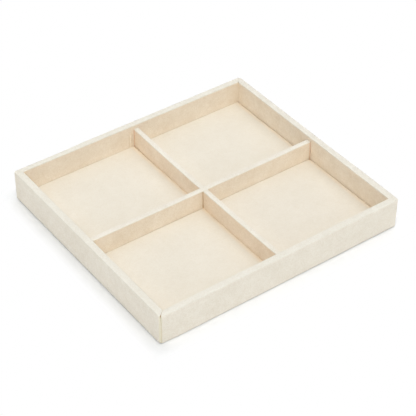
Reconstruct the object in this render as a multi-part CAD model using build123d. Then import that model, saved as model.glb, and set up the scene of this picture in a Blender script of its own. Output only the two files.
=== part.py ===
"""A cloth-wrapped jewelry tray with four compartments.

Frame: +Z up, X along the long side, Y from the front to the back. The origin is on the surface
that the tray rests on, under the middle of the tray. All lengths are in millimetres.

The tray is a frame of four wall boards on a base board. One strip of faux suede runs up the
outside, over the rim, down the inside and under the base. Two wrapped divider boards, half-lapped
where they cross, part the inside into four compartments, and a wrapped card lines each floor.
"""
from build123d import *
import os

# Overall size of the finished tray, cloth included
tray_length = 220.0
tray_depth = 200.0
tray_height = 27.5

# Cloth and boards
cloth_thickness = 0.6
wall_board_thickness = 4.0
base_board_thickness = 4.0
divider_board_thickness = 3.0
pad_card_thickness = 0.8
bottom_sheet_thickness = 0.8

# Corners and edges: the boards have eased edges, and the cloth rounds them off
frame_corner_radius = 2.2
board_edge_chamfer = 0.3
wrap_edge_radius = 0.6

# Joints between the boards
base_rebate_depth = 2.0
corner_rebate_depth = 2.0

# Dividers: how far their tops lie under the rim, and where they cross as shares of the inside
divider_drop = 3.5
crossing_length_share = 0.5
crossing_depth_share = 0.5
middle_share = 0.5
lap_height_share = 0.5
lap_clearance = 0.3

# How the cloth ends
wrap_turn_in = 14.0
pad_turn_under = 9.0
wrap_seam_gap = 0.3
rim_mitre_gap = 0.16
turn_in_mitre_gap = 1.2

# Bottom sheet
bottom_sheet_inset = 2.5
bottom_sheet_corner_radius = 3.0
bottom_sheet_ramp = 1.6
bottom_sheet_clearance = 0.5

# Fit of the floor pads in their compartments
pad_clearance = 0.35

# How far a cutting tool runs past the face that it cuts
overrun = 5.0

# Heights of the layers, from the surface that the tray rests on
wrap_bottom = bottom_sheet_thickness
board_bottom = wrap_bottom + cloth_thickness
base_top = board_bottom + base_board_thickness
rim_top = tray_height
board_top = rim_top - cloth_thickness
divider_top = rim_top - divider_drop
divider_height = divider_top - base_top
lap_level = base_top + divider_height * lap_height_share

# Plan sizes that follow from the above
frame_length = tray_length - 2 * cloth_thickness
frame_depth = tray_depth - 2 * cloth_thickness
frame_inner_length = frame_length - 2 * wall_board_thickness
frame_inner_depth = frame_depth - 2 * wall_board_thickness
inside_length = frame_inner_length - 2 * cloth_thickness
inside_depth = frame_inner_depth - 2 * cloth_thickness
divider_thickness = divider_board_thickness + 2 * cloth_thickness
crossing_x = (crossing_length_share - middle_share) * inside_length
crossing_y = (crossing_depth_share - middle_share) * inside_depth
wrap_corner_radius = frame_corner_radius + cloth_thickness


def block(length, depth, bottom, top, x=0.0, y=0.0):
    """A box centred on x, y in plan that reaches from bottom to top."""
    return Pos(x, y, bottom) * Box(
        length, depth, top - bottom, align=(Align.CENTER, Align.CENTER, Align.MIN)
    )


def edges_at(shape, level):
    """The edges of a shape that lie flat at one height."""
    return shape.edges().filter_by_position(Axis.Z, level, level)


def frame_core():
    """The frame and base as one solid block: the form that the strip of cloth is folded round."""
    core = block(frame_length, frame_depth, board_bottom, board_top)
    core = fillet(core.edges().filter_by(Axis.Z), frame_corner_radius)
    core -= block(frame_inner_length, frame_inner_depth, base_top, board_top + overrun)
    eased = edges_at(core, board_top) + edges_at(core, board_bottom)
    return chamfer(eased, board_edge_chamfer)


def base_recess():
    """The space that the base board fills, set into the rebate of the walls."""
    return block(
        frame_inner_length + 2 * base_rebate_depth,
        frame_inner_depth + 2 * base_rebate_depth,
        board_bottom,
        base_top,
    )


def wall_boards():
    """Four wall boards: the long ones are rebated at their ends to take the short ones."""
    frame = frame_core() - base_recess()
    frame -= block(frame_inner_length, frame_inner_depth, board_bottom - overrun, board_top + overrun)
    side_run = frame_depth - 2 * (wall_board_thickness - corner_rebate_depth)
    side_place = (frame_inner_length + wall_board_thickness) / 2
    side_zones = {
        "left": block(wall_board_thickness, side_run, board_bottom, board_top, x=-side_place),
        "right": block(wall_board_thickness, side_run, board_bottom, board_top, x=side_place),
    }
    long_boards = frame - side_zones["left"] - side_zones["right"]
    boards = {f"wall_board_{side}": frame & zone for side, zone in side_zones.items()}
    for side, sign in (("front", -1), ("back", 1)):
        half = block(frame_length, frame_depth / 2, board_bottom, board_top, y=sign * frame_depth / 4)
        boards[f"wall_board_{side}"] = long_boards & half
    return boards


def corner_slit(x_sign, y_sign, start, run, width, bottom, top):
    """A thin upright plate along the diagonal of one corner, for a cut through the cloth.

    It starts at a distance start in X and Y inwards from the outer faces of the tray, and runs
    inwards in plan, by run in X and Y.
    """
    corner = Plane(
        origin=(x_sign * (tray_length / 2 - start), y_sign * (tray_depth / 2 - start), bottom),
        x_dir=(-x_sign, -y_sign, 0),
        z_dir=(0, 0, 1),
    )
    diagonal_run = run * 2**0.5
    return corner * Box(diagonal_run, width, top - bottom, align=(Align.MIN, Align.CENTER, Align.MIN))


def outer_wrap():
    """The strip of cloth round the frame: outside, rim, inside and turn-in, open at one corner."""
    wrap = block(tray_length, tray_depth, wrap_bottom, rim_top)
    wrap = fillet(wrap.edges().filter_by(Axis.Z), wrap_corner_radius)
    wrap -= block(inside_length, inside_depth, base_top, rim_top + overrun)
    wrap = fillet(edges_at(wrap, rim_top) + edges_at(wrap, wrap_bottom), wrap_edge_radius)
    wrap -= frame_core()
    window_length = tray_length - 2 * wrap_turn_in
    window_depth = tray_depth - 2 * wrap_turn_in
    wrap -= block(window_length, window_depth, wrap_bottom - overrun, board_bottom)

    # The cloth is cut at 45 degrees where it folds in over the rim and under the base
    fold_start = wrap_corner_radius - (frame_corner_radius - board_edge_chamfer) / 2**0.5
    rim_run = wall_board_thickness + 2 * cloth_thickness
    for x_sign in (-1, 1):
        for y_sign in (-1, 1):
            wrap -= corner_slit(
                x_sign, y_sign, fold_start, rim_run, rim_mitre_gap, base_top, rim_top + overrun
            )
            wrap -= corner_slit(
                x_sign, y_sign, fold_start, wrap_turn_in, turn_in_mitre_gap,
                wrap_bottom - overrun, board_bottom,
            )

    # The two ends of the strip meet at the front left corner
    wrap -= corner_slit(
        -1, -1, -overrun, overrun + rim_run, wrap_seam_gap, wrap_bottom - overrun, rim_top + overrun
    )
    return wrap


def base_board():
    """The board that closes the frame from below: it fills the rebate of the walls."""
    return base_recess()


def upright(run, thickness, top):
    """A board along X that stands on the base board, and its edges that cloth is folded over."""
    board = block(run, thickness, base_top, top)
    return board, board.edges().filter_by(Axis.Z) + edges_at(board, top)


def crossed(shape, across, from_below):
    """Cuts the half-lap slot that takes the other divider, open below or above."""
    slot_width = divider_thickness + 2 * lap_clearance
    bottom, top = (base_top - overrun, lap_level) if from_below else (lap_level, divider_top + overrun)
    return shape - block(slot_width, divider_thickness + overrun, bottom, top, x=across)


def divider_pair(run, across, from_below):
    """One divider along X: its board and the cloth that covers its sides, top and ends."""
    board, board_edges = upright(
        run - 2 * cloth_thickness, divider_board_thickness, divider_top - cloth_thickness
    )
    board = chamfer(board_edges, board_edge_chamfer)
    cover, cover_edges = upright(run, divider_thickness, divider_top)
    cover = fillet(cover_edges, wrap_edge_radius) - board
    return crossed(board, across, from_below), crossed(cover, across, from_below)


def dividers():
    """Both dividers: the lengthwise one is slotted from below and sits down over the other."""
    long_board, long_cover = divider_pair(inside_length, crossing_x, from_below=True)
    short_board, short_cover = divider_pair(inside_depth, crossing_y, from_below=False)
    along_x = Pos(0, crossing_y, 0)
    along_y = Pos(crossing_x, 0, 0) * Rotation(0, 0, 90)
    return {
        "divider_board_lengthwise": along_x * long_board,
        "divider_cover_lengthwise": along_x * long_cover,
        "divider_board_crosswise": along_y * short_board,
        "divider_cover_crosswise": along_y * short_cover,
    }


def pad(length, depth, x, y):
    """A floor pad: a card with cloth over its top and edges, turned under all round."""
    card_bottom = base_top + cloth_thickness
    card_top = card_bottom + pad_card_thickness
    pad_top = card_top + cloth_thickness
    card = block(length - 2 * cloth_thickness, depth - 2 * cloth_thickness, card_bottom, card_top, x, y)
    cover = block(length, depth, base_top, pad_top, x, y)
    cover = fillet(cover.edges().filter_by(Axis.Z) + edges_at(cover, pad_top), cloth_thickness)
    cover -= card
    cover -= block(
        length - 2 * pad_turn_under, depth - 2 * pad_turn_under, base_top - overrun, card_bottom, x, y
    )
    return card, cover


def compartment_spans(inside, crossing):
    """The two clear spans that a divider leaves of the inside, as (low, high) from the middle."""
    return (
        (-inside / 2, crossing - divider_thickness / 2),
        (crossing + divider_thickness / 2, inside / 2),
    )


def pads():
    """The four floor pads, each a little smaller than its compartment."""
    made = {}
    for x_side, (x_low, x_high) in zip(("left", "right"), compartment_spans(inside_length, crossing_x)):
        for y_side, (y_low, y_high) in zip(("front", "back"), compartment_spans(inside_depth, crossing_y)):
            card, cover = pad(
                x_high - x_low - 2 * pad_clearance,
                y_high - y_low - 2 * pad_clearance,
                (x_low + x_high) / 2,
                (y_low + y_high) / 2,
            )
            made[f"pad_card_{y_side}_{x_side}"] = card
            made[f"pad_cover_{y_side}_{x_side}"] = cover
    return made


def raised_panel(length, depth, low, high):
    """The low step that the bottom sheet takes up inside the turned-in edge of the wrap."""
    lower = Plane.XY.offset(low) * Rectangle(length, depth)
    upper = Plane.XY.offset(high) * Rectangle(length - 2 * bottom_sheet_ramp, depth - 2 * bottom_sheet_ramp)
    return loft([lower, upper])


def bottom_sheet():
    """The sheet glued underneath: it covers the turn-in and steps up to the base board inside it."""
    sheet = block(
        tray_length - 2 * bottom_sheet_inset, tray_depth - 2 * bottom_sheet_inset, 0.0, wrap_bottom
    )
    sheet = fillet(sheet.edges().filter_by(Axis.Z), bottom_sheet_corner_radius)
    panel_length = tray_length - 2 * (wrap_turn_in + bottom_sheet_clearance)
    panel_depth = tray_depth - 2 * (wrap_turn_in + bottom_sheet_clearance)
    sheet -= raised_panel(panel_length, panel_depth, 0.0, cloth_thickness)
    return sheet + raised_panel(panel_length, panel_depth, wrap_bottom, board_bottom)


def tray():
    """Every piece of the tray by name."""
    pieces = {
        "bottom_sheet": bottom_sheet(),
        "base_board": base_board(),
        "outer_wrap": outer_wrap(),
    }
    pieces.update(wall_boards())
    pieces.update(dividers())
    pieces.update(pads())
    return pieces


os.makedirs("parts", exist_ok=True)
for name, piece in tray().items():
    piece.label = name
    export_step(piece, f"parts/{name}.step")
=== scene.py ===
"""Looks of a cloth-wrapped jewelry tray with four compartments.

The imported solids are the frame. Every sheet of faux suede is modelled here over the boards and
cards that it covers. The boards, the cards and the bottom sheet keep their solids and get their
finishes. Lengths are in metres, and in a finish they are in millimetres unless it says otherwise.
"""
import logging
import math
from dataclasses import dataclass, field
from enum import Enum
from typing import Callable, Mapping, Optional, Sequence, Union

import bmesh
import bpy
from mathutils import Color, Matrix, Quaternion, Vector, noise


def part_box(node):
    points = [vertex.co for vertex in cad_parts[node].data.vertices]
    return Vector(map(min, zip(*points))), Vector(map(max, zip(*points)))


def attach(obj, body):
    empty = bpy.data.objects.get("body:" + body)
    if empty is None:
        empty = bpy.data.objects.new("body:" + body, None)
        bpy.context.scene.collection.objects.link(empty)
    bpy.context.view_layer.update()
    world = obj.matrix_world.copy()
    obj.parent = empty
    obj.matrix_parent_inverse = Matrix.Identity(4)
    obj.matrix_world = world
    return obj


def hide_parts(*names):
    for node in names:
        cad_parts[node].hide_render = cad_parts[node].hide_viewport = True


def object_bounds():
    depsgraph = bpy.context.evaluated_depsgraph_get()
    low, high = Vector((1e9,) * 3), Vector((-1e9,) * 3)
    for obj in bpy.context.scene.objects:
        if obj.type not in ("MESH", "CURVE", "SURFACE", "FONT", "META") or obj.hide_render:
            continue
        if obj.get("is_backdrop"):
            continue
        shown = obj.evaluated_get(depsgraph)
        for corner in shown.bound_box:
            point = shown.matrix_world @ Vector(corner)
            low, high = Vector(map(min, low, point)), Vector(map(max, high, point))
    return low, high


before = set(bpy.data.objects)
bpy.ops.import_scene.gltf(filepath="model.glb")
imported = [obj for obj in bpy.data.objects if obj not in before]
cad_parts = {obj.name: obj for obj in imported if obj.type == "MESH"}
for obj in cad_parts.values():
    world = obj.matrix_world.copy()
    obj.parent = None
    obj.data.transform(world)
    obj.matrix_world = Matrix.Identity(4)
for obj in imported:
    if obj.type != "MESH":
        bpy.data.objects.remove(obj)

log = logging.getLogger("tray")

MM = 0.001
BODY = "root"
IMAGE_SIDE = 416.0
SCREEN_WHITE = 255.0
# A direction with more than this share of its length along Z counts as upright.
UPRIGHT = 0.9
# Points closer than this are merged.
WELD = 0.001 * MM
# Levels and lines closer than this are taken as the same.
HAIR = 0.01 * MM
# How far past a limit a point still counts as within it.
NEAR = 0.1 * MM
# A point closer than this to a face lies on it.
SKIN = 0.3 * MM
# Where something starts, and where it is full. The second may be the smaller one.
Span = tuple[float, float]


# Materials

Colour = tuple[float, float, float, float]
Value = Union["Wire", float, int, Sequence[float]]
WHITE: Colour = (1.0, 1.0, 1.0, 1.0)
# A noise node's values lie round this one.
MIDDLE = 0.5
# How the pattern of a nap is drawn out upwards.
UPWARDS = (1.0, 1.0, 0.6)
# Where a Mix node takes its factor and its two colours, and where it gives the blend.
FACTOR, FIRST, SECOND, BLEND = 0, 6, 7, 2


def dye(red: float, green: float, blue: float) -> Colour:
    """Turns a colour as a screen shows it into the light that a shader works in.

    Args:
        red: Red, from 0 to 255.
        green: Green, from 0 to 255.
        blue: Blue, from 0 to 255.

    Returns:
        The linear colour with full opacity.
    """
    screen = Color([level / SCREEN_WHITE for level in (red, green, blue)])
    return (*screen.from_srgb_to_scene_linear(), 1.0)


class Wire:
    """What one socket gives. Arithmetic on it adds the Math nodes that work it out."""

    def __init__(self, recipe: "Recipe", socket: Optional[bpy.types.NodeSocket]) -> None:
        """Keeps the recipe and the output socket of a node in it."""
        self.recipe = recipe
        self.socket = socket

    def _maths(self, operation: str, *values: Value) -> "Wire":
        """Adds the Math node of an operation on one or two values."""
        return self.recipe.add("ShaderNodeMath", {"operation": operation}, dict(enumerate(values)))

    def __add__(self, other: Value) -> "Wire":
        """This plus other, and other plus this."""
        return self._maths("ADD", self, other)

    __radd__ = __add__

    def __sub__(self, other: Value) -> "Wire":
        """This minus other."""
        return self._maths("SUBTRACT", self, other)

    def __rsub__(self, other: Value) -> "Wire":
        """Other minus this."""
        return self._maths("SUBTRACT", other, self)

    def __mul__(self, other: Value) -> "Wire":
        """This times other, and other times this."""
        return self._maths("MULTIPLY", self, other)

    __rmul__ = __mul__

    def __abs__(self) -> "Wire":
        """The size of this, without its sign."""
        return self._maths("ABSOLUTE", self)

    def most(self, other: Value) -> "Wire":
        """The larger of this and other."""
        return self._maths("MAXIMUM", self, other)

    def wave(self) -> "Wire":
        """A wave from 0 to 1 over this angle."""
        return self._maths("SINE", self) * MIDDLE + MIDDLE

    def held(self) -> "Wire":
        """This, held between 0 and 1."""
        return self.recipe.add("ShaderNodeClamp", {}, {"Value": self})

    def rise(self, start: float, full: float) -> "Wire":
        """A smooth step over this value.

        Args:
            start: Where the step is still 0.
            full: Where it has come to 1, which may lie under start.

        Returns:
            The step, from 0 to 1.
        """
        if start > full:
            return 1.0 - self.rise(full, start)
        return self.recipe.add(
            "ShaderNodeMapRange",
            {"interpolation_type": "SMOOTHSTEP", "clamp": True},
            {"Value": self, "From Min": start, "From Max": full},
        )

    def stretched(self, shares: Sequence[float]) -> "Wire":
        """This vector, with each axis times its own share."""
        return self.recipe.add("ShaderNodeVectorMath", {"operation": "MULTIPLY"}, {0: self, 1: shares})

    def shifted(self, by: Value) -> "Wire":
        """This vector plus another."""
        return self.recipe.add("ShaderNodeVectorMath", {"operation": "ADD"}, {0: self, 1: by})

    def axis(self, letter: str) -> "Wire":
        """One axis of this vector."""
        return self.recipe.add("ShaderNodeSeparateXYZ", {}, {0: self}, out=letter)


class Recipe:
    """The nodes of one finish, added one after the other."""

    def __init__(self, tree: bpy.types.NodeTree) -> None:
        """Starts from an emptied tree."""
        self.tree = tree
        self.tree.nodes.clear()

    def add(
        self,
        kind: str,
        settings: Optional[Mapping[str, object]] = None,
        values: Optional[Mapping[Union[int, str], Value]] = None,
        out: Union[int, str] = 0,
    ) -> Wire:
        """Adds a node, sets it up and joins it to what feeds it.

        Args:
            kind: The node's type.
            settings: Its settings, set before its sockets.
            values: A number, colour or wire for each socket, by name or place.
            out: The output that is handed back, by name or place.

        Returns:
            That output.
        """
        node = self.tree.nodes.new(kind)
        for name, setting in (settings or {}).items():
            setattr(node, name, setting)
        for key, value in (values or {}).items():
            socket = node.inputs[key]
            if isinstance(value, Wire):
                self.tree.links.new(value.socket, socket)
            else:
                socket.default_value = value
        return Wire(self, node.outputs[out] if len(node.outputs) else None)

    def mix(self, share: Value, first: Value, second: Value) -> Wire:
        """Blends two colours.

        Args:
            share: How much of the second, from 0 to 1.
            first: The first colour.
            second: The second colour.

        Returns:
            The blend.
        """
        settings = {"data_type": "RGBA", "clamp_factor": True}
        values = {FACTOR: share, FIRST: first, SECOND: second}
        return self.add("ShaderNodeMix", settings, values, out=BLEND)

    def bump(self, height: Wire, distance: float) -> Wire:
        """Raises the surface by a pattern.

        Args:
            height: The pattern.
            distance: How far the surface stands up where the pattern is 1, in metres.

        Returns:
            The normal of the raised surface.
        """
        values = {"Strength": 1.0, "Distance": distance, "Height": height}
        return self.add("ShaderNodeBump", {}, values, out="Normal")

    def place(self) -> Wire:
        """Where a point lies on the object, in millimetres."""
        return self.add("ShaderNodeTexCoord", out="Object").stretched((1.0 / MM,) * 3)

    def cloud(
        self, place: Wire, size: float, detail: float = 2.0, rough: float = 0.5, warp: float = 0.0
    ) -> Wire:
        """Soft random patches.

        Args:
            place: Where the point lies, in millimetres.
            size: How large the patches are, in millimetres.
            detail: How many finer layers they have.
            rough: How strong the finer layers are.
            warp: How far they are pulled out of shape.

        Returns:
            A value round 0.
        """
        values = {"Vector": place, "Scale": 1.0 / size, "Detail": detail}
        values |= {"Roughness": rough, "Distortion": warp}
        return self.add("ShaderNodeTexNoise", {"noise_dimensions": "3D"}, values) - MIDDLE


Tint = tuple[Wire, Colour]


class Finish:
    """What a surface is covered with or made of. Each kind fills in its own recipe."""

    name: str

    def recipe(self, work: Recipe) -> Mapping[str, Value]:
        """The main shader's sockets.

        Args:
            work: The recipe to add nodes to.

        Returns:
            A value for each socket of the main shader, by name.
        """
        raise NotImplementedError

    def shared(self) -> bpy.types.Material:
        """The material of this name, made once and then used again.

        Returns:
            The material.
        """
        made = bpy.data.materials.get(self.name)
        if made is None:
            made = bpy.data.materials.new(self.name)
            made.use_nodes = True
            work = Recipe(made.node_tree)
            surface = work.add("ShaderNodeBsdfPrincipled", {}, self.recipe(work))
            work.add("ShaderNodeOutputMaterial", {}, {"Surface": surface})
        return made


@dataclass(frozen=True)
class Tones:
    """A pale and a deep tone of one dyed cloth."""

    pale: Colour
    deep: Colour


@dataclass(frozen=True)
class Suede(Finish):
    """Cream faux suede: a short dense nap with soft cloudy patches.

    Attributes:
        name: The material's name.
        open_tones: Tones on the rim, the tops and the outside.
        shade_tones: Painted-shade tones, darker and warmer, on the upright faces inside the tray.
        cloud_size, brush_size, tuft_size, fibre_size: Sizes of the broad patches, of those that a
            hand leaves in the nap, of the tufts of fibre and of single fibres.
        brush_shift: Keeps the brushed patches from following the broad ones.
        unevenness: How strongly the patches differ, where 1 is plain to see.
        cloud_share, brush_share, tuft_share: How much of that is in each kind.
        hollow_shade_tone, hollow_shade_share: The painted shade between the tufts, and how far it
            shows there.
        hollow_level: How much hollow there is where tufts and fibres are even.
        tuft_depth, fibre_depth: How much deeper it is between tufts and between fibres.
        nap_height: How far the nap stands up, in metres.
        tuft_rise, fibre_rise, brush_rise: How much of that is in each kind.
        dullness, brush_dullness: How rough the nap is, and how much rougher where brushed up.
        painted_lighting_tone, painted_lighting_share: The tone of painted light on the tops of folds
        (of painted shade beside a wall on the floor pads), and how far they have turned to it.
        painted_lighting_depth: How far under the top of a fold the painted light lies.
        painted_shade_tone: The tone of painted shade at edges, in creases and where parts meet.
    """

    name: str
    open_tones: Tones = Tones(dye(245, 240, 228), dye(233, 226, 211))
    # Painted shade: darker, warmer tones for the upright faces inside the tray.
    shade_tones: Tones = Tones(dye(244, 233, 216), dye(230, 215, 193))
    cloud_size: float = 17.0
    brush_size: float = 5.0
    brush_shift: tuple[float, float, float] = (31.0, 7.0, 3.0)
    tuft_size: float = 1.1
    fibre_size: float = 0.34
    unevenness: float = 1.0
    cloud_share: float = 1.5
    brush_share: float = 1.2
    tuft_share: float = 0.0
    # Painted shade in the hollows of the nap.
    hollow_shade_tone: Colour = dye(214, 196, 164)
    hollow_shade_share: float = 0.3
    hollow_level: float = 0.132
    tuft_depth: float = 2.2
    fibre_depth: float = 1.4
    nap_height: float = 0.085 * MM
    tuft_rise: float = 0.6
    fibre_rise: float = 0.4
    brush_rise: float = 0.8
    dullness: float = 0.9
    brush_dullness: float = 0.12
    # Painted light on the tops of folds: this tone is mixed in there.
    painted_lighting_tone: Colour = dye(230, 232, 226)
    painted_lighting_share: float = 0.25
    painted_lighting_depth: Span = (1.0, 0.3)
    # Painted shade at edges, creases and joints.
    painted_shade_tone: Colour = dye(140, 136, 128)

    def tints(self, work: Recipe, place: Wire) -> list[Tint]:
        """How far each place with painted light, painted shade or another tint has turned to its own
        tone: nowhere at all.
        """
        return []

    def shade_mask(self, work: Recipe, place: Wire) -> Optional[Wire]:
        """How far a point gets the painted shade of an upright face inside the tray, or None for
        nowhere.
        """
        return None

    def recipe(self, work: Recipe) -> Mapping[str, Value]:
        """Broad and fine patches of tone, with the fine ones raised as nap.

        Args:
            work: The recipe to add nodes to.

        Returns:
            A value for each socket of the main shader, by name.
        """
        place = work.place()
        broad = work.cloud(place, self.cloud_size, detail=3.0, rough=0.55)
        brushed = work.cloud(place.shifted(self.brush_shift), self.brush_size, warp=0.8)
        tuft = work.cloud(place, self.tuft_size, detail=3.0, rough=0.6, warp=1.2)
        fibre = work.cloud(place.stretched(UPWARDS), self.fibre_size, rough=0.7, warp=2.0)
        patches = broad * self.cloud_share + brushed * self.brush_share + tuft * self.tuft_share
        tone = (MIDDLE + patches * self.unevenness).held()
        colour = work.mix(tone, self.open_tones.deep, self.open_tones.pale)
        # Painted shade: upright faces inside the tray turn to the darker, warmer tones.
        shade_mask = self.shade_mask(work, place)
        if shade_mask is not None:
            inner = work.mix(tone, self.shade_tones.deep, self.shade_tones.pale)
            colour = work.mix(shade_mask, colour, inner)
        for share, tint in self.tints(work, place):
            colour = work.mix(share, colour, tint)
        # Painted shade in the hollows between tufts and fibres.
        hollow = self.hollow_level - tuft * self.tuft_depth - fibre * self.fibre_depth
        colour = work.mix(hollow.held() * self.hollow_shade_share, colour, self.hollow_shade_tone)
        relief = tuft * self.tuft_rise + fibre * self.fibre_rise + brushed * self.brush_rise
        return {
            "Base Color": colour,
            "Roughness": self.dullness + brushed * self.brush_dullness,
            "Normal": work.bump(relief, self.nap_height),
            "Specular IOR Level": 0.2,
            "Sheen Weight": 0.12,
            "Sheen Roughness": 0.5,
            "Sheen Tint": dye(250, 244, 232),
        }


@dataclass(frozen=True)
class FrameSuede(Suede):
    """The suede of the strip round the frame, with painted warm shade on its upright faces inside.

    It has painted contact shade just over the fold round the base, most along the left side,
    and a darker olive tint along the seam.

    Attributes:
        inner_x, inner_y: Half of the inside's length and depth.
        rim: Height of the rim.
        wall_reach, pit_depth: How far outside the inner face the painted warm shade lies, and how
        far under the rim.
        base_shade_height: Height of the strip of painted contact shade.
        left_reach, left_base_shade: How far outside the inner face the left side lies, and how far it
        has turned to the painted shade.
        right_reach, right_base_shade: Where along the other sides the painted shade lies, and how
            strong.
        seam_tone, seam_share: The tone of the darker olive line beside the seam, and how far it shows.
        seam_reach: How far it lies to each side of its middle.
        seam_left: How far its middle lies to the left of the corner.
        seam_outside: How far outside the inside's corner it lies, added over X and Y.
        seam_depth: How far under the rim it lies.
    """

    inner_x: float = 0.0
    inner_y: float = 0.0
    rim: float = 0.0
    wall_reach: Span = (0.5, 0.1)
    pit_depth: Span = (0.4, 1.0)
    base_shade_height: Span = (2.8, 0.84)
    left_reach: Span = (2.0, 4.0)
    left_base_shade: float = 0.3
    right_reach: Span = (-20.0, 60.0)
    right_base_shade: float = 0.16
    seam_tone: Colour = dye(182, 176, 72)
    seam_share: float = 0.2
    seam_reach: Span = (1.7, 0.51)
    seam_left: float = 0.45
    seam_outside: Span = (7.0, 8.0)
    seam_depth: Span = (0.0, 0.8)

    def tints(self, work: Recipe, place: Wire) -> list[Tint]:
        """Painted light on the rim, painted shade low on the outer faces, and the seam's olive line.

        Args:
            work: The recipe to add nodes to; not used.
            place: Where the point lies.

        Returns:
            How far each has turned to its own tone, and that tone.
        """
        x, y, z = (place.axis(letter) for letter in "XYZ")
        depth = self.rim - z
        # Painted contact shade just over the base's fold, strongest on the left.
        left = (-self.inner_x - x).rise(*self.left_reach) * self.left_base_shade
        right = x.rise(*self.right_reach) * self.right_base_shade
        low = z.rise(*self.base_shade_height) * left.most(right)
        off = ((x + self.inner_x) - (y + self.inner_y)) * math.sqrt(0.5) + self.seam_left
        outside = (-self.inner_x - self.inner_y - (x + y)).rise(*self.seam_outside)
        seam = abs(off).rise(*self.seam_reach) * outside * depth.rise(*self.seam_depth)
        return [
            # Painted light on the rim's top: a cooler tone where white lamplight falls straight on it.
            (depth.rise(*self.painted_lighting_depth) * self.painted_lighting_share, self.painted_lighting_tone),
            # Painted contact shade on the lowest strip of the outer faces.
            (low, self.painted_shade_tone),
            # A darker olive tint along the seam.
            (seam * self.seam_share, self.seam_tone),
        ]

    def shade_mask(self, work: Recipe, place: Wire) -> Wire:
        """The walls' inner faces, from just under the rim downwards, where shade is painted.

        Args:
            work: The recipe to add nodes to; not used.
            place: Where the point lies.

        Returns:
            How far the point counts as such a face, from 0 to 1.
        """
        x, y, z = (place.axis(letter) for letter in "XYZ")
        beyond = (abs(x) - self.inner_x).most(abs(y) - self.inner_y)
        return beyond.rise(*self.wall_reach) * (self.rim - z).rise(*self.pit_depth)


@dataclass(frozen=True)
class DividerSuede(Suede):
    """The divider's suede: painted warm shade on its sides, painted brown shade where it meets others.

    Attributes:
        top: Height of the dividers.
        side_depth: How far under the top the painted shade on the sides lies.
        axis, end: The letter of the axis that the divider runs along, and half of its length.
        joint_shade_reach: How far from a wall or the other divider the painted shade shows.
        end_shade: How far the ends have turned to the painted shade.
        crossing, half: Where the other divider lies, and half of its thickness.
        crossing_shade_tone, crossing_shade: The tone of the painted shade beside it, and how far it
            shows.
        low_shade, low_height: How much more of it shows near the floor, and at what height.
        foot_shade, foot_height: How much of it shows at the foot of the ends, and at what height.
    """

    top: float = 0.0
    side_depth: Span = (0.4, 0.9)
    axis: str = "X"
    end: float = 0.0
    joint_shade_reach: Span = (1.1, 0.33)
    end_shade: float = 0.75
    crossing: float = 0.0
    half: float = 0.0
    crossing_shade_tone: Colour = dye(211, 176, 119)
    crossing_shade: float = 0.4
    low_shade: float = 0.4
    low_height: Span = (12.0, 8.0)
    foot_shade: float = 0.0
    foot_height: Span = (10.5, 8.0)
    # Painted shade where the divider meets a wall: an orange-brown tone.
    painted_shade_tone: Colour = dye(236, 160, 92)

    def tints(self, work: Recipe, place: Wire) -> list[Tint]:
        """Painted light on the top, and painted shade at the ends by the walls and beside the
        crossing.

        Args:
            work: The recipe to add nodes to.
            place: Where the point lies.

        Returns:
            How far each has turned to its own tone, and that tone.
        """
        z, along, side = place.axis("Z"), place.axis(self.axis), self.shade_mask(work, place)
        # Painted shade at the ends by the walls and beside the crossing, more of it near the floor.
        at_wall = (self.end - abs(along)).rise(*self.joint_shade_reach)
        crossed = (abs(along - self.crossing) - self.half).rise(*self.joint_shade_reach)
        crossed = crossed * (self.crossing_shade + z.rise(*self.low_height) * self.low_shade)
        crossed = crossed.most(at_wall * z.rise(*self.foot_height) * self.foot_shade)
        return [
            # Painted light on the divider's top: a paler, whiter tone.
            ((self.top - z).rise(*self.painted_lighting_depth) * self.painted_lighting_share, self.painted_lighting_tone),
            # Painted shade on the sides at the ends.
            (at_wall * side * self.end_shade, self.painted_shade_tone),
            # Painted shade on the sides beside the crossing.
            (crossed * side, self.crossing_shade_tone),
        ]

    def shade_mask(self, work: Recipe, place: Wire) -> Wire:
        """The divider's sides, from just under its top downwards, where shade is painted."""
        return (self.top - place.axis("Z")).rise(*self.side_depth)


@dataclass(frozen=True)
class FloorSuede(Suede):
    """The suede of a floor pad, with painted warm shade beside the upright face on its right.

    Attributes:
        right_x: Where the pad's right edge lies.
        warm_shade_reach: How far from that edge the warm shade is painted.
        roll_reach, roll_shade: How far from it the roll has painted shade, and how strongly.
    """

    right_x: float = 0.0
    warm_shade_reach: Span = (5.0, 0.0)
    roll_reach: Span = (0.8, 0.0)
    roll_shade: float = 0.25
    # Painted shade and warm bounce light beside the wall on the pad's right.
    painted_shade_tone: Colour = dye(250, 214, 160)
    painted_lighting_tone: Colour = dye(250, 224, 184)
    painted_lighting_share: float = 0.32
    unevenness: float = 0.42

    def tints(self, work: Recipe, place: Wire) -> list[Tint]:
        """Painted warm shade on the strip beside the wall at the right edge, and painted shade on its
        roll.

        Args:
            work: The recipe to add nodes to; not used.
            place: Where the point lies.

        Returns:
            How far each has turned to its own tone, and that tone.
        """
        to_edge = self.right_x - place.axis("X")
        return [
            # Painted warm shade on the strip beside the wall.
            (to_edge.rise(*self.warm_shade_reach) * self.painted_lighting_share, self.painted_lighting_tone),
            # Painted shade on the roll of the edge against the wall.
            (to_edge.rise(*self.roll_reach) * self.roll_shade, self.painted_shade_tone),
        ]


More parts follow.
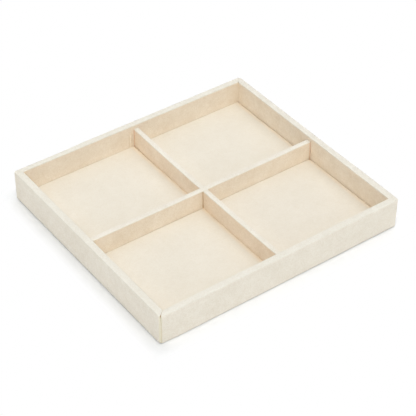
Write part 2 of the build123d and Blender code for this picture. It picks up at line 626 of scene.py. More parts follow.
@dataclass(frozen=True)
class SuedeBacking(Finish):
    """The knitted backing of the suede, stained by glue, seen at its cut edges.

    Attributes:
        name: The material's name.
        pale, deep: The tone of the loops, and that between them, where the glue has soaked in.
        level: How pale it is where loops and stains are even, from 0 to 1.
        loop, loop_share: Distance between the knitted loops, and how much they differ in tone.
        loop_height: How far they stand up, in metres.
        stain, stain_share: Size of the stains, and how much they differ in tone.
        dullness, stain_shine: How rough it is, and how much the stains change that.
    """

    name: str = "suede_backing"
    pale: Colour = dye(228, 207, 172)
    deep: Colour = dye(196, 163, 118)
    level: float = 0.7
    loop: float = 0.55
    loop_share: float = 0.6
    loop_height: float = 0.08 * MM
    stain: float = 6.0
    stain_share: float = 0.4
    dullness: float = 0.92
    stain_shine: float = 0.1

    def recipe(self, work: Recipe) -> Mapping[str, Value]:
        """Small loops under a blotchy stain.

        Args:
            work: The recipe to add nodes to.

        Returns:
            A value for each socket of the main shader, by name.
        """
        place = work.place()
        loops = work.cloud(place.stretched(UPWARDS), self.loop, detail=1.0, rough=0.4)
        stain = work.cloud(place, self.stain, detail=3.0, rough=0.6)
        tone = self.level + loops * self.loop_share + stain * self.stain_share
        return {
            "Base Color": work.mix(tone.held(), self.deep, self.pale),
            "Roughness": self.dullness - stain * self.stain_shine,
            "Normal": work.bump(loops, self.loop_height),
            "Specular IOR Level": 0.2,
        }


@dataclass(frozen=True)
class Board(Finish):
    """Pressed fibreboard or card, with short flat fibres and darker specks.

    Attributes:
        name: The material's name.
        pale, deep: The paler and the deeper tone.
        speck: The tone of single dark fibres.
        grain_size, flatness: Length of the fibres, and how much thinner they are on each axis.
        grain_share: How much they differ in tone.
        patch_size: Size of the patches.
        speck_size, speck_shift: Size of the specks, as a share of the fibres', and their shift.
        speck_level, speck_share: Where the noise turns to specks, and how dark they are.
        dullness, grain_dullness: How rough the board is, and how much rougher on its fibres.
        tooth: How far the surface stands up, in metres.
    """

    name: str
    pale: Colour
    deep: Colour
    speck: Colour
    grain_size: float = 0.6
    flatness: tuple[float, float, float] = (1.0, 1.0, 2.5)
    grain_share: float = 1.6
    patch_size: float = 12.0
    speck_size: float = 0.8
    speck_shift: tuple[float, float, float] = (5.0, 9.0, 2.0)
    speck_level: Span = (0.16, 0.24)
    speck_share: float = 0.6
    dullness: float = 0.8
    grain_dullness: float = 0.3
    tooth: float = 0.03 * MM

    def recipe(self, work: Recipe) -> Mapping[str, Value]:
        """Matted fibres, a few of them dark.

        Args:
            work: The recipe to add nodes to.

        Returns:
            A value for each socket of the main shader, by name.
        """
        place = work.place()
        fibres = place.stretched(self.flatness)
        mat = work.cloud(fibres, self.grain_size, detail=4.0, rough=0.65, warp=1.5)
        patch = work.cloud(place, self.patch_size)
        shifted = place.shifted(self.speck_shift)
        specks = work.cloud(shifted, self.grain_size * self.speck_size, warp=3.0)
        tone = (MIDDLE + mat * self.grain_share + patch).held()
        colour = work.mix(tone, self.deep, self.pale)
        dark = specks.rise(*self.speck_level) * self.speck_share
        return {
            "Base Color": work.mix(dark, colour, self.speck),
            "Roughness": self.dullness + mat * self.grain_dullness,
            "Normal": work.bump(mat, self.tooth),
            "Specular IOR Level": 0.3,
        }


@dataclass(frozen=True)
class CoveringPaper(Finish):
    """Matt covering paper with a laid linen emboss.

    Attributes:
        name: The material's name.
        pale, deep: The paler and the deeper tone.
        thread: Distance between the embossed threads.
        wander, wander_size: How far they wander, and over what length.
        pulp_size, fade_size, fine_size: Sizes of the patches in the pulp, of the places where the
            threads come and go, and of the finest grain.
        level: How pale it is where everything is even, from 0 to 1.
        pulp_share, weave_share, fine_share: How much pulp, threads and grain differ in tone.
        dullness, weave_shine: How rough it is, and how much smoother on the threads.
        emboss, weave_rise: Depth of the emboss, in metres, and how much of it is in the threads.
    """

    name: str
    pale: Colour
    deep: Colour
    thread: float = 0.9
    wander: float = 0.7
    wander_size: float = 3.5
    pulp_size: float = 9.0
    fade_size: float = 1.6
    fine_size: float = 0.4
    level: float = 0.45
    pulp_share: float = 1.4
    weave_share: float = 0.25
    fine_share: float = 0.3
    dullness: float = 0.72
    weave_shine: float = 0.12
    emboss: float = 0.035 * MM
    weave_rise: float = 0.8

    def recipe(self, work: Recipe) -> Mapping[str, Value]:
        """Two crossing sets of threads that come and go, over a cloudy pulp.

        Args:
            work: The recipe to add nodes to.

        Returns:
            A value for each socket of the main shader, by name.
        """
        place = work.place()
        pulp = work.cloud(place, self.pulp_size, detail=4.0, rough=0.6) * self.pulp_share
        drift = work.cloud(place, self.wander_size) * self.wander
        turn = 2.0 * math.pi / self.thread
        warp, weft = (((place.axis(letter) + drift) * turn).wave() for letter in "XY")
        weave = warp.most(weft) * (work.cloud(place, self.fade_size) + 1.0)
        fine = work.cloud(place, self.fine_size, detail=3.0, rough=0.7) * self.fine_share
        tone = self.level + pulp + (weave - MIDDLE) * self.weave_share + fine
        return {
            "Base Color": work.mix(tone.held(), self.deep, self.pale),
            "Roughness": self.dullness - (weave - MIDDLE) * self.weave_shine,
            "Normal": work.bump(weave * self.weave_rise + fine, self.emboss),
            "Specular IOR Level": 0.35,
        }


# Workbench


class Part(Enum):
    """What is picked on a mesh."""

    FACE = "FACE"
    EDGE = "EDGE"


class Along(Enum):
    """An axis of the frame, by its place in a vector."""

    X = 0
    Y = 1
    Z = 2

    @property
    def direction(self) -> Vector:
        """The axis as a unit vector."""
        return Vector([1.0 if i == self.value else 0.0 for i in range(3)])


# A point's move, from its place, its normal and the way to its own faces.
Sculpt = Callable[[Vector, Vector, Vector], Vector]
# Where a row of points starts and ends, and how far apart they lie.
Cells = tuple[float, float, float]


def held(value: float) -> float:
    """A value, held between 0 and 1."""
    return min(1.0, max(0.0, value))


def ripple(place: Vector, size: float) -> float:
    """Smooth noise in space, from about -1 to 1, with bumps of a size."""
    return noise.noise(place / size)


def billow(place: Vector, size: float) -> float:
    """The same noise, from about 0 to 1."""
    return 0.5 + 0.5 * ripple(place, size)


def swell(value: float, middle: float, width: float) -> float:
    """A soft hump that is 1 at its middle and fades over its width."""
    return math.exp(-(((value - middle) / width) ** 2))


def climb(value: float, start: float, full: float) -> float:
    """A straight rise from 0 at start to 1 at full, which may lie under start."""
    return held((value - start) / (full - start))


def ease(value: float, start: float, full: float) -> float:
    """The same rise, made smooth at both ends."""
    share = climb(value, start, full)
    return share * share * (3.0 - 2.0 * share)


@dataclass(frozen=True)
class Ridge:
    """One small upright fold of loose cloth: where it is, how wide, and its share of the height."""

    place: float
    width: float
    share: float = 1.0


def ridges(value: float, row: Sequence[Ridge]) -> float:
    """How far the cloth stands up in a row of ridges, as a share of their height."""
    return sum(ridge.share * swell(value, ridge.place, ridge.width) for ridge in row)


def steps(low: float, high: float, step: float) -> list[float]:
    """Evenly spaced places between two ends, the ends left out."""
    count = max(1, round((high - low) / step))
    return [low + (high - low) * i / count for i in range(1, count)]


def reroll(
    aside: float, below: float, radius: float, wanted: float, reach: float
) -> tuple[float, float]:
    """Slides a point near a fold to where it lies once the fold has another radius.

    Args:
        aside: How far the point lies in from the side face.
        below: How far it lies below the flat face.
        radius: The fold's radius so far.
        wanted: The radius that it gets.
        reach: How far from the fold the cloth still slides.

    Returns:
        How far the point moves in and down.
    """
    turn = math.pi / 4
    if aside < radius and below < radius:
        run = (math.atan2(radius - below, radius - aside) - turn) * radius
    elif below < aside:
        run = aside - radius + turn * radius
    else:
        run = radius - below - turn * radius
    limit = turn * wanted
    if abs(run) < limit:
        angle = run / wanted + turn
        to_aside, to_below = wanted * (1.0 - math.cos(angle)), wanted * (1.0 - math.sin(angle))
    else:
        straight = wanted + abs(run) - limit
        to_aside, to_below = (straight, 0.0) if run > 0.0 else (0.0, straight)
    share = 1.0 - ease(abs(run), limit, reach)
    return (to_aside - aside) * share, (to_below - below) * share


def ends(edge: bmesh.types.BMEdge) -> list[Vector]:
    """The two ends of an edge."""
    return [point.co for point in edge.verts]


def upright(edge: bmesh.types.BMEdge) -> bool:
    """Whether an edge runs straight up."""
    a, b = ends(edge)
    return abs(a.z - b.z) > UPRIGHT * (a - b).length


def folded(edge: bmesh.types.BMEdge) -> bool:
    """Whether a level edge runs between an upright face and a flat one.

    Args:
        edge: The edge.

    Returns:
        Whether it does.
    """
    a, b = ends(edge)
    if abs(a.z - b.z) > HAIR or len(edge.link_faces) != 2:
        return False
    return abs(edge.link_faces[0].normal.z - edge.link_faces[1].normal.z) > UPRIGHT


def upward(face: bmesh.types.BMFace) -> bool:
    """Whether a face looks straight up."""
    return face.normal.z > UPRIGHT


def downward(face: bmesh.types.BMFace) -> bool:
    """Whether a face looks straight down."""
    return face.normal.z < -UPRIGHT


class Bench:
    """A workpiece on the bench, shaped in edit mode with hand moves.

    Attributes:
        obj: The object that is being shaped.
    """

    def __init__(self, name: str, low: Vector, high: Vector) -> None:
        """Lays out a block between two corners and starts to shape it.

        Args:
            name: The piece's name.
            low: The block's lowest corner.
            high: The block's highest corner.
        """
        bpy.ops.object.select_all(action="DESELECT")
        bpy.ops.mesh.primitive_cube_add(size=1.0, location=(low + high) / 2, scale=high - low)
        self.obj = bpy.context.active_object
        self.obj.name = self.obj.data.name = name
        bpy.ops.object.transform_apply(location=True, rotation=True, scale=True)
        bpy.ops.object.mode_set(mode="EDIT")

    def mesh(self) -> bmesh.types.BMesh:
        """The mesh under the tools."""
        return bmesh.from_edit_mesh(self.obj.data)

    def pick(self, part: Part, test: Callable[[object], bool]) -> "Bench":
        """Picks the faces or edges that pass a test, and nothing else.

        Args:
            part: Faces or edges.
            test: Says of a face or edge whether it is picked.

        Returns:
            The bench, for the next move.
        """
        bpy.ops.mesh.select_mode(type=part.value)
        bpy.ops.mesh.select_all(action="DESELECT")
        mesh = self.mesh()
        for item in mesh.faces if part is Part.FACE else mesh.edges:
            if test(item):
                item.select_set(True)
        bmesh.update_edit_mesh(self.obj.data)
        return self

    def inset(self, width: float) -> "Bench":
        """Draws a margin of that width inside the picked faces."""
        bpy.ops.mesh.inset(thickness=width, depth=0.0)
        return self

    def extrude(self, by: Vector) -> "Bench":
        """Pushes the picked faces out or in."""
        bpy.ops.mesh.extrude_region_move(TRANSFORM_OT_translate={"value": by})
        return self

    def bevel(self, width: float, segments: int) -> "Bench":
        """Rounds the picked edges."""
        shape = {"offset_type": "OFFSET", "affect": "EDGES", "clamp_overlap": False}
        bpy.ops.mesh.bevel(offset=width, segments=segments, **shape)
        return self

    def remove(self) -> "Bench":
        """Takes the picked faces away."""
        bpy.ops.mesh.delete(type="FACE")
        return self

    def cut(self, axis: Along, *places: float) -> "Bench":
        """Cuts through the whole sheet, square to an axis, at each place.

        Args:
            axis: The axis that the cuts are square to.
            places: Where on the axis each cut goes.

        Returns:
            The bench, for the next move.
        """
        bpy.ops.mesh.select_mode(type="FACE")
        for place in places:
            bpy.ops.mesh.select_all(action="SELECT")
            bpy.ops.mesh.bisect(plane_co=axis.direction * place, plane_no=axis.direction)
        return self

    def split(self) -> "Bench":
        """Opens the sheet along the picked edges."""
        bpy.ops.mesh.edge_split(type="EDGE")
        return self

    def shape(self, move: Sculpt) -> "Bench":
        """Pushes and pulls the cloth, one point at a time.

        Args:
            move: Gives a point's move from its place, its normal and the way to its own faces.

        Returns:
            The bench, for the next move.
        """
        mesh = self.mesh()
        mesh.normal_update()
        moves = []
        for point in mesh.verts:
            middle = Vector()
            for face in point.link_faces:
                middle += face.calc_center_median() - point.co
            moves.append((point, move(point.co.copy(), point.normal.copy(), middle)))
        for point, by in moves:
            point.co += by
        bmesh.update_edit_mesh(self.obj.data)
        return self

    def thicken(self, cloth: float, finish: Finish, smooth: float = 55.0) -> bpy.types.Object:
        """Ends the shaping, gives the sheet its thickness inwards and smooths its shading.

        Args:
            cloth: Thickness of the cloth.
            finish: The finish of its face; its cut edges and its back show the backing.
            smooth: The sharpest fold that still shades smoothly, in degrees.

        Returns:
            The finished object.
        """
        bpy.ops.mesh.select_all(action="SELECT")
        bpy.ops.mesh.remove_doubles(threshold=WELD, use_unselected=False)
        bpy.ops.object.mode_set(mode="OBJECT")
        for side in (finish, SuedeBacking()):
            self.obj.data.materials.append(side.shared())
        wall = self.obj.modifiers.new("cloth", "SOLIDIFY")
        wall.material_offset = wall.material_offset_rim = 1
        wall.thickness = cloth
        wall.offset = -1.0
        wall.use_even_offset = wall.use_quality_normals = True
        bpy.ops.object.modifier_apply(modifier=wall.name)
        bpy.ops.object.shade_smooth_by_angle(angle=math.radians(smooth))
        return self.obj


def hand_over(
    obj: bpy.types.Object, node: str
) -> None:
    """Hands a finished sheet of cloth to the frame in place of its solid.

    Args:
        obj: The sheet.
        node: The solid that it stands for.
    """
    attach(obj, BODY)
    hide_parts(node)
    log.info("%s: %d faces", obj.name, len(obj.data.polygons))


# Pieces


@dataclass
class OuterWrap:
    """The strip of suede round the frame: outside, rim, inside and the turn-in underneath.

    Attributes:
        cloth: Thickness of the suede.
        corner_radius, side_radius: Radius of the upright outer corners, near and far, and of
            those left and right, where the cloth is drawn tighter.
        edge_radius: Radius of the folds over the rim and round the base.
        corner_facets, edge_facets: Facets round each corner and each fold.
        turn_in: How far the cloth is turned in underneath.
        cell: Distance between the points of the sheet.
        ridge_cells, rim_cells: From where to where they lie closer, and how close: along X for
            the ridges, and under the rim, counted from it.
        rim_cuts: Where points lie on the rim, as shares of its width.
        slack: How far the cloth stands off the boards in places.
        billow_size, dimple_size: Size of those places, and of the finer ones.
        dimple_shift: Keeps the finer ones from following the others.
        dimple_share: How far they stand out, as a share of the slack.
        seam_gap, seam_reach: Width of the seam where the strip's ends meet, and how far from it
            its lips are drawn apart.
        seam_inside: How far inside the outer faces the seam's upright part still lies.
        seam_mouth, seam_mouth_reach: How much wider it opens at the rim's corner, and how far.
        seam_mouth_in: How far in that mouth's middle lies, as a share of the corner's radius.
        seam_wander, seam_wander_size: How far its width wanders, and over what length.
        seam_curls: How far the front's lip curls up, and how far the others do.
        seam_turn: How far it is drawn round the corner onto the front, under its mouth.
        seam_turn_reach, seam_turn_depth: How far from it the cloth is drawn along, and how far
            under the rim.
        mitre_gap, mitre_reach: Width of the cuts across the rim's other corners, and how far
            from them their lips are drawn apart.
        mitre_inset: How far inside the outer face those cuts end.
        rim_width: How far inside the outer faces a cut still lies on the rim.
        base_height: Height under which a cut lies round the base.
        pucker, pucker_row: Height and places of the ridges beside the crosswise divider.
        pucker_fade: How far under the rim they stand.
        soft_radius: Radius of the fold over the rim where it is loosest, at the seam's corner.
        soft_front, soft_left: How far from there it is loose, along the front and the left side.
        front_radius, worn_radius: Radius of that fold along the front, and at the far left.
        far_left: Where along X the far left lies.
        bottom_radius: Radius of the fold round the base along the left side.
        left_lift: How far that fold stands off the floor.
        slide: How far from a fold the cloth slides when the fold gets rounder.
        left_stand, right_stand: How far the left side stands out, and the right one in front.
        near_front: Where along Y that is.
        corner_draw, corner_reach: How far the front is drawn in at the seam's corner, and how
            far from it.
        back_draw: How far the back is drawn in at the far left.
        inner_draw, inner_rim: How far the back wall's inner face is drawn towards its board, and
            how far under the rim.
        inner_foot, inner_foot_height: How far it stands out at its foot, and at what height.
    """

    cloth: float = 0.58 * MM
    corner_radius: float = 2.8 * MM
    side_radius: float = 1.4 * MM
    corner_facets: int = 8
    edge_radius: float = 0.5 * MM
    edge_facets: int = 5
    turn_in: float = 14.0 * MM
    cell: float = 2.4 * MM
    ridge_cells: Cells = (-10 * MM, -2 * MM, 0.45 * MM)
    rim_cells: Cells = (-6 * MM, -0.5 * MM, 0.6 * MM)
    rim_cuts: tuple[float, ...] = (0.35, 0.65)
    slack: float = 0.12 * MM
    billow_size: float = 34 * MM
    dimple_size: float = 7 * MM
    dimple_shift: tuple[float, float, float] = (0.3, 0.1, 0.2)
    dimple_share: float = 0.3
    seam_gap: float = 0.05 * MM
    seam_reach: float = 1.6 * MM
    seam_inside: float = 1.5 * MM
    seam_mouth: float = 0.5 * MM
    seam_mouth_reach: float = 1.2 * MM
    seam_mouth_in: float = 0.35
    seam_wander: float = 0.06 * MM
    seam_wander_size: float = 5 * MM
    seam_curls: tuple[float, float] = (0.12 * MM, 0.05 * MM)
    seam_turn: float = 0.6 * MM
    seam_turn_reach: float = 2.6 * MM
    seam_turn_depth: Span = (3 * MM, 7 * MM)
    mitre_gap: float = 0.06 * MM
    mitre_reach: float = 0.4 * MM
    mitre_inset: float = 1.3 * MM
    rim_width: float = 6.5 * MM
    base_height: float = 2 * MM
    pucker: float = 0.42 * MM
    pucker_row: tuple[Ridge, ...] = (Ridge(-4.7 * MM, 0.65 * MM), Ridge(-7.2 * MM, 0.7 * MM))
    pucker_fade: Span = (2 * MM, 5 * MM)
    soft_radius: float = 1.8 * MM
    soft_front: Span = (15 * MM, 3 * MM)
    soft_left: Span = (6 * MM, 1 * MM)
    front_radius: float = 0.75 * MM
    worn_radius: float = 1.2 * MM
    far_left: Span = (-40 * MM, -70 * MM)
    bottom_radius: float = 0.8 * MM
    left_lift: float = 0.38 * MM
    slide: float = 5.0 * MM
    left_stand: float = 0.42 * MM
    right_stand: float = 0.5 * MM
    near_front: Span = (-20 * MM, -60 * MM)
    corner_draw: float = 0.42 * MM
    corner_reach: Span = (16 * MM, 4 * MM)
    back_draw: float = 0.3 * MM
    inner_draw: float = 0.1 * MM
    inner_rim: Span = (8 * MM, 1 * MM)
    inner_foot: float = 0.25 * MM
    inner_foot_height: Span = (10 * MM, 0.0)
    low: Vector = field(init=False)
    high: Vector = field(init=False)
    inner: Vector = field(init=False)

    def __post_init__(self) -> None:
        """Reads the strip's own box and the clear inside from the frame."""
        self.low, self.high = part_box("outer_wrap")
        side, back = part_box("wall_board_right")[0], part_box("wall_board_back")[0]
        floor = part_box("base_board")[1].z
        strip = self.high.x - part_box("wall_board_right")[1].x
        self.inner = Vector((side.x - strip, back.y - strip, floor))

    def build(self) -> None:
        """Models the strip and hands it over."""
        bench = Bench("suede_frame_wrap", self.low, self.high)
        self._hollow(bench)
        self._round(bench)
        self._divide(bench)
        bench.pick(Part.EDGE, self._on_cut).split()
        bench.shape(self._settle)
        suede = FrameSuede(
            "cream_suede_frame",
            inner_x=self.inner.x / MM,
            inner_y=self.inner.y / MM,
            rim=self.high.z / MM,
            cloud_share=1.0,
            brush_share=1.0,
            tuft_share=1.3,
        )
        wrap = bench.thicken(self.cloth, suede)
        hand_over(wrap, "outer_wrap")

    def _hollow(self, bench: Bench) -> None:
        """Sinks the inside into the block, and opens the shell at the floor and underneath.

        Args:
            bench: The workpiece.
        """
        bench.pick(Part.FACE, upward).inset(self.high.x - self.inner.x)
        bench.extrude(Vector((0.0, 0.0, self.inner.z - self.high.z))).remove()
        bench.pick(Part.FACE, downward).inset(self.turn_in).remove()

    def _round(self, bench: Bench) -> None:
        """Rounds the upright corners, then the folds over the rim and round the base.

        Args:
            bench: The workpiece.
        """
        for sign, radius in ((1.0, self.corner_radius), (-1.0, self.side_radius)):

            def corner(edge: bmesh.types.BMEdge) -> bool:
                """An outer corner on the diagonal where X times Y has that sign."""
                place = edge.verts[0].co
                outer = upright(edge) and self._from_outside(place, max) < NEAR
                return outer and place.x * place.y * sign > 0.0

            bench.pick(Part.EDGE, corner).bevel(radius, self.corner_facets)
        bench.pick(Part.EDGE, folded).bevel(self.edge_radius, self.edge_facets)

    def _divide(self, bench: Bench) -> None:
        """Cuts the strip into cells, finer where the cloth puckers beside the divider.

        Args:
            bench: The workpiece.
        """
        x, y, z = self.inner
        bench.cut(Along.X, *steps(-x, x, self.cell)).cut(Along.Y, *steps(-y, y, self.cell))
        bench.cut(Along.X, *steps(*self.ridge_cells))
        low, high, cell = self.rim_cells
        bench.cut(Along.Z, *steps(z, self.high.z - self.edge_radius, self.cell))
        bench.cut(Along.Z, *steps(self.high.z + low, self.high.z + high, cell))
        for share in self.rim_cuts:
            reach_x = x + (self.high.x - x) * share
            reach_y = y + (self.high.y - y) * share
            bench.cut(Along.X, -reach_x, reach_x).cut(Along.Y, -reach_y, reach_y)

    def _off_diagonal(self, place: Vector) -> float:
        """How far a point lies off its corner's diagonal, towards the long sides."""
        run = (abs(place.y) - self.high.y) - (abs(place.x) - self.high.x)
        return run / math.sqrt(2.0)

    def _from_outside(self, place: Vector, which: Callable[[float, float], float] = min) -> float:
        """How far in a point lies from the nearer outer face, or with max from the farther one."""
        return which(self.high.x - abs(place.x), self.high.y - abs(place.y))

    def _at_seam_corner(self, place: Vector) -> bool:
        """Whether a point lies in the quarter of the front left corner."""
        return place.x < 0.0 and place.y < 0.0

    def _on_cut(self, edge: bmesh.types.BMEdge) -> bool:
        """Whether the strip is open along an edge: the end seam, or a mitre over the rim.

        Args:
            edge: The edge.

        Returns:
            Whether it is.
        """
        a, b = ends(edge)
        if max(abs(self._off_diagonal(a)), abs(self._off_diagonal(b))) > HAIR:
            return False
        fold = self.high.x - self.mitre_inset
        inside = max(abs(a.x), abs(b.x)) < fold + HAIR and min(a.z, b.z) > self.low.z - NEAR
        return self._at_seam_corner(a) or inside

    def _settle(self, place: Vector, normal: Vector, own: Vector) -> Vector:
        """How a point of the cloth moves from the plain fold to where it lies.

        Args:
            place: The point.
            normal: Its outward normal.
            own: The way to its own faces.

        Returns:
            The move.
        """
        move = self._stand(place) + self._soften(place) + self._turn_seam(place, normal)
        if place.z >= self.low.z + SKIN:
            stand = billow(place, self.billow_size)
            fine = billow(place + Vector(self.dimple_shift), self.dimple_size) * self.dimple_share
            move += normal * (self.slack * (stand + fine)) + self._pucker(place)
        return move + self._part(place, normal, own)

    def _stand(self, place: Vector) -> Vector:
        """How far each side stands out or is drawn in, fading over the rim's width.

        Args:
            place: The point.

        Returns:
            The move.
        """
        left, right = (climb(way, self.inner.x, self.high.x) for way in (-place.x, place.x))
        front, back = (climb(way, self.inner.y, self.high.y) for way in (-place.y, place.y))
        under, over = self.high.z - place.z, place.z - self.inner.z
        drawn = self.inner_draw * ease(under, *self.inner_rim)
        drawn -= self.inner_foot * ease(over, *self.inner_foot_height)
        inner_back = ease(place.y, self.inner.y - SKIN, self.inner.y) * (1.0 - back)
        x = right * self.right_stand * ease(place.y, *self.near_front) - left * self.left_stand
        y = front * self.corner_draw * ease(place.x - self.low.x, *self.corner_reach)
        y += inner_back * drawn - back * self.back_draw * ease(place.x, *self.far_left)
        return Vector((x, y, 0.0))

    def _soften(self, place: Vector) -> Vector:
        """Rounds the fold over the rim and the one round the base where the cloth is loose.

        Args:
            place: The point.

        Returns:
            The move.
        """
        radius = self.corner_radius if place.x * place.y > 0.0 else self.side_radius
        x = abs(place.x) - (self.high.x - radius)
        y = abs(place.y) - (self.high.y - radius)
        if x > 0.0 and y > 0.0:
            out = Vector((x, y, 0.0))
            aside = radius - out.length
            out.normalize()
        else:
            out = Vector((1.0, 0.0, 0.0)) if x > y else Vector((0.0, 1.0, 0.0))
            aside = radius - max(x, y)
        if aside > self.slide:
            return Vector()
        out = Vector((math.copysign(out.x, place.x), math.copysign(out.y, place.y), 0.0))
        below, above = max(0.0, self.high.z - place.z), max(0.0, place.z - self.low.z)
        aside = max(0.0, aside)
        wanted = self._fold_radius(place)
        inwards, down = reroll(aside, below, self.edge_radius, wanted, self.slide)
        move = Vector((0.0, 0.0, -down)) - out * inwards
        from_left = place.x - self.low.x
        if from_left < self.slide and above < self.slide:
            inwards, up = reroll(aside, above, self.edge_radius, self.bottom_radius, self.slide)
            up += self.left_lift * ease(from_left, self.slide, 0.0) * ease(above, self.slide, 0.0)
            move += Vector((0.0, 0.0, up)) - out * inwards
        return move

    def _fold_radius(self, place: Vector) -> float:
        """The radius of the fold over the rim at a place along it.

        Args:
            place: The place.

        Returns:
            The radius.
        """
        from_left, from_front = place.x - self.low.x, place.y - self.low.y
        if from_left < from_front:
            at_seam = ease(from_front, *self.soft_left)
        else:
            at_seam = ease(from_left, *self.soft_front)
        plain = self.edge_radius
        if from_front < self.slide:
            plain = self.front_radius
        elif place.y > self.high.y - self.slide:
            plain += (self.worn_radius - plain) * ease(place.x, *self.far_left)
        return plain + (self.soft_radius - plain) * at_seam

    def _pucker(self, place: Vector) -> Vector:
        """The small ridges on the back wall, left of the crosswise divider.

        Args:
            place: The point.

        Returns:
            The move.
        """
        if abs(place.y - self.inner.y) > SKIN:
            return Vector()
        fade = climb(self.high.z - place.z, *self.pucker_fade)
        return Vector((0.0, -self.pucker * ridges(place.x, self.pucker_row) * fade, 0.0))

    def _turn_seam(self, place: Vector, normal: Vector) -> Vector:
        """Draws the seam round its corner onto the front, from just under the mouth downwards.

        Args:
            place: The point.
            normal: Its outward normal.

        Returns:
            The move.
        """
        if not self._at_seam_corner(place) or self._from_outside(place) > self.seam_inside:
            return Vector()
        drawn = swell(self._off_diagonal(place), 0.0, self.seam_turn_reach)
        drawn *= ease(self.high.z - place.z, *self.seam_turn_depth)
        return Vector((-normal.y, normal.x, 0.0)) * (self.seam_turn * drawn)

    def _part(self, place: Vector, normal: Vector, own: Vector) -> Vector:
        """Parts the two lips of a cut, wide at the seam's mouth and hair-thin at the mitres.

        Args:
            place: The point.
            normal: Its outward normal.
            own: The way to its own faces, which tells the lips apart.

        Returns:
            The move.
        """
        off, inside = self._off_diagonal(place), self._from_outside(place)
        at_seam, over_base = self._at_seam_corner(place), place.z > self.base_height
        reach = self.seam_reach if at_seam else self.mitre_reach
        if abs(off) > reach or inside > self.rim_width and over_base:
            return Vector()
        tangent = Vector((-math.copysign(1.0, place.x), math.copysign(1.0, place.y), 0.0))
        lean = own.dot(tangent) if abs(off) < HAIR else off
        side = 1.0 if lean > 0.0 else -1.0
        if at_seam:
            peak = Vector((self.low.x, self.low.y, self.high.z))
            peak += Vector((1.0, 1.0, 0.0)) * self.seam_mouth_in * self.corner_radius
            mouth = self.seam_mouth * swell((place - peak).length, 0.0, self.seam_mouth_reach)
            wander = self.seam_wander * (1.0 + ripple(place, self.seam_wander_size))
            gap = self.seam_gap + mouth + wander
            front_lip = inside < self.seam_inside and side > 0
            curl = self.seam_curls[0 if front_lip else 1]
        else:
            on_mitre = abs(place.x) < self.high.x - self.mitre_inset + NEAR and over_base
            gap, curl = (self.mitre_gap if on_mitre else 0.0), 0.0
        fade = 1.0 - abs(off) / reach
        return tangent.normalized() * (side * gap / 2 * fade) + normal * (curl * fade)


class Run(Enum):
    """Which way a divider runs, by the axis that it runs along."""

    LENGTHWISE = Along.X
    CROSSWISE = Along.Y

    @property
    def across(self) -> Along:
        """The axis that it is thin along."""
        return Along.Y if self is Run.LENGTHWISE else Along.X


